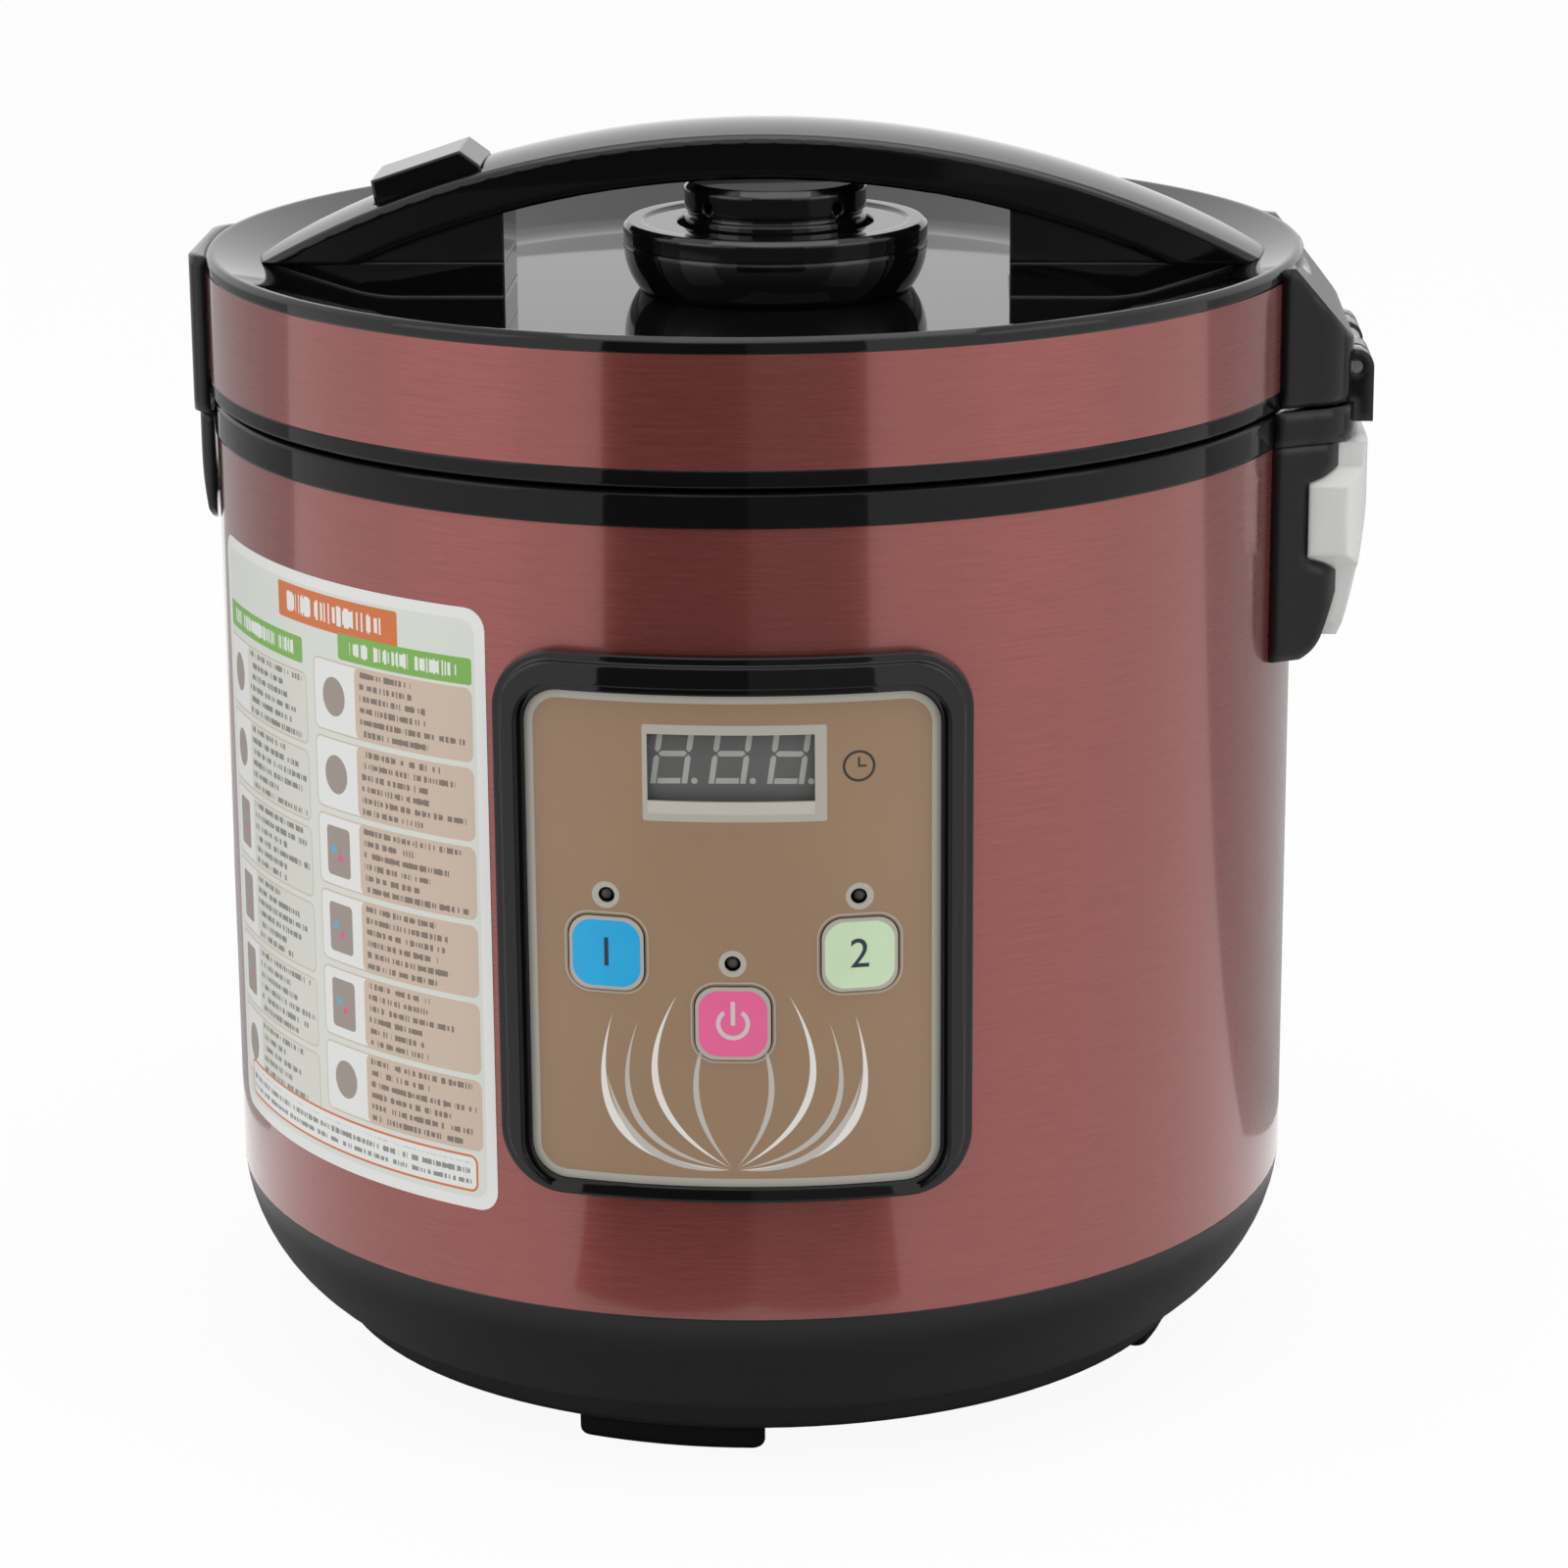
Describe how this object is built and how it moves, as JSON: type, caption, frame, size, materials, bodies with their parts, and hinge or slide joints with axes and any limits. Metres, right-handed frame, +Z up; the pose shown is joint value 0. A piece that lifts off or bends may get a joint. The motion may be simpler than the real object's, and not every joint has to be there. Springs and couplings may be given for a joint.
{
  "type": "countertop electric fermenter",
  "caption": "Drum-shaped countertop fermenter with a hinged lid, arched handle, release button, steam vent, inner pot and a front panel with keys and a timer display.",
  "frame": {"origin": "on the standing surface at the body's axis", "axes": "+Z up along the body's axis, -Y out of the control panel, +X towards the lid's hinge"},
  "size_m": [0.2767, 0.263, 0.2936],
  "materials": {
    "rose_metal": "rose-red brushed sheet, satin",
    "gloss_black": "mirror gloss",
    "satin_black": "satin moulded",
    "rubber_black": "matt",
    "seal_grey": "matt silicone",
    "clear_plastic": "clear, polished",
    "smoke_pane": "smoky, polished",
    "bronze_film": "printed film, satin",
    "key_blue": "satin gloss",
    "key_green": "satin gloss",
    "key_pink": "satin gloss",
    "digit_block": "matt grey",
    "lamp_lens": "diffuse lens",
    "circuit_board": "solder mask",
    "switch_black": "matt",
    "aluminium": "drawn, satin",
    "steel_sheet": "plain",
    "spring_steel": "drawn",
    "core_iron": "varnished",
    "relay_blue": "moulded",
    "brass": "plated"
  },
  "bodies": {
    "body": {"outer_shell": "rose_metal", "catch_cover": "gloss_black", "hinge_column": "gloss_black", "hinge_bracket": "gloss_black", "panel_bezel": "gloss_black", "upper_ring": "gloss_black", "base_bowl": "satin_black", "base_plate": "satin_black", "power_inlet": "satin_black", "feet": "rubber_black", "display_window": "smoke_pane", "panel_overlay": "bronze_film", "display_module": "digit_block", "indicator_lamps": "lamp_lens", "control_board": "circuit_board", "power_board": "circuit_board", "tact_switches": "switch_black", "inner_pot": "aluminium", "heating_plate": "aluminium", "heat_shield": "steel_sheet", "sensor_guide": "steel_sheet", "catch_plate": "steel_sheet", "base_screws": "steel_sheet", "hinge_pin": "spring_steel", "hinge_spring": "spring_steel", "sensor_spring": "spring_steel", "heating_element": "spring_steel", "transformer": "core_iron", "relay": "relay_blue", "inlet_pins": "brass"},
    "lid": {"lid_top": "gloss_black", "lid_band": "rose_metal", "lid_lower_ring": "gloss_black", "lid_liner": "satin_black", "inner_lid": "aluminium", "lid_gasket": "seal_grey", "inner_lid_knob": "seal_grey", "handle_arch": "gloss_black", "handle_screws": "steel_sheet", "vent_collar": "gloss_black", "vent_seal": "seal_grey", "vent_cap": "gloss_black", "lid_hinge_cover": "gloss_black", "latch_cover": "gloss_black", "latch_pin": "spring_steel", "latch_spring": "spring_steel"},
    "release_button": {"release_button": "gloss_black"},
    "latch": {"latch_lever": "satin_black"},
    "water_collector": {"water_collector": "clear_plastic"},
    "left_key": {"key_left": "key_blue"},
    "right_key": {"key_right": "key_green"},
    "power_key": {"key_power": "key_pink"},
    "pot_sensor": {"sensor_cap": "aluminium"}
  },
  "joints": [
    {"name": "lid_hinge", "type": "hinge", "parent": "body", "child": "lid", "pos_m": [0.1407, 0, 0.24], "axis": [0, 1, 0], "range_deg": [0, 75]},
    {"name": "button_press", "type": "slide", "parent": "lid", "child": "release_button", "axis": [0.319, 0, -0.9478], "range_m": [0, 0.003], "stiffness_N_per_m": 400, "springref_m": -0.002},
    {"name": "latch_pivot", "type": "hinge", "parent": "lid", "child": "latch", "pos_m": [-0.119, 0, 0.248], "axis": [0, 1, 0], "range_deg": [0, 5]},
    {"name": "collector_pull", "type": "slide", "parent": "body", "child": "water_collector", "axis": [1, 0, 0], "range_m": [0, 0.03]},
    {"name": "left_key_press", "type": "slide", "parent": "body", "child": "left_key", "axis": [0, 1, 0], "range_m": [0, 0.0006], "stiffness_N_per_m": 800, "springref_m": -0.0005},
    {"name": "right_key_press", "type": "slide", "parent": "body", "child": "right_key", "axis": [0, 1, 0], "range_m": [0, 0.0006], "stiffness_N_per_m": 800, "springref_m": -0.0005},
    {"name": "power_key_press", "type": "slide", "parent": "body", "child": "power_key", "axis": [0, 1, 0], "range_m": [0, 0.0006], "stiffness_N_per_m": 800, "springref_m": -0.0005},
    {"name": "sensor_press", "type": "slide", "parent": "body", "child": "pot_sensor", "axis": [0, 0, -1], "range_m": [0, 0.003], "stiffness_N_per_m": 300, "springref_m": -0.004, "deforming": ["sensor_spring"]}
  ],
  "couplings": [
    {"joint": "latch_pivot", "follows": "button_press", "rad_per_m": 27.3}
  ]
}
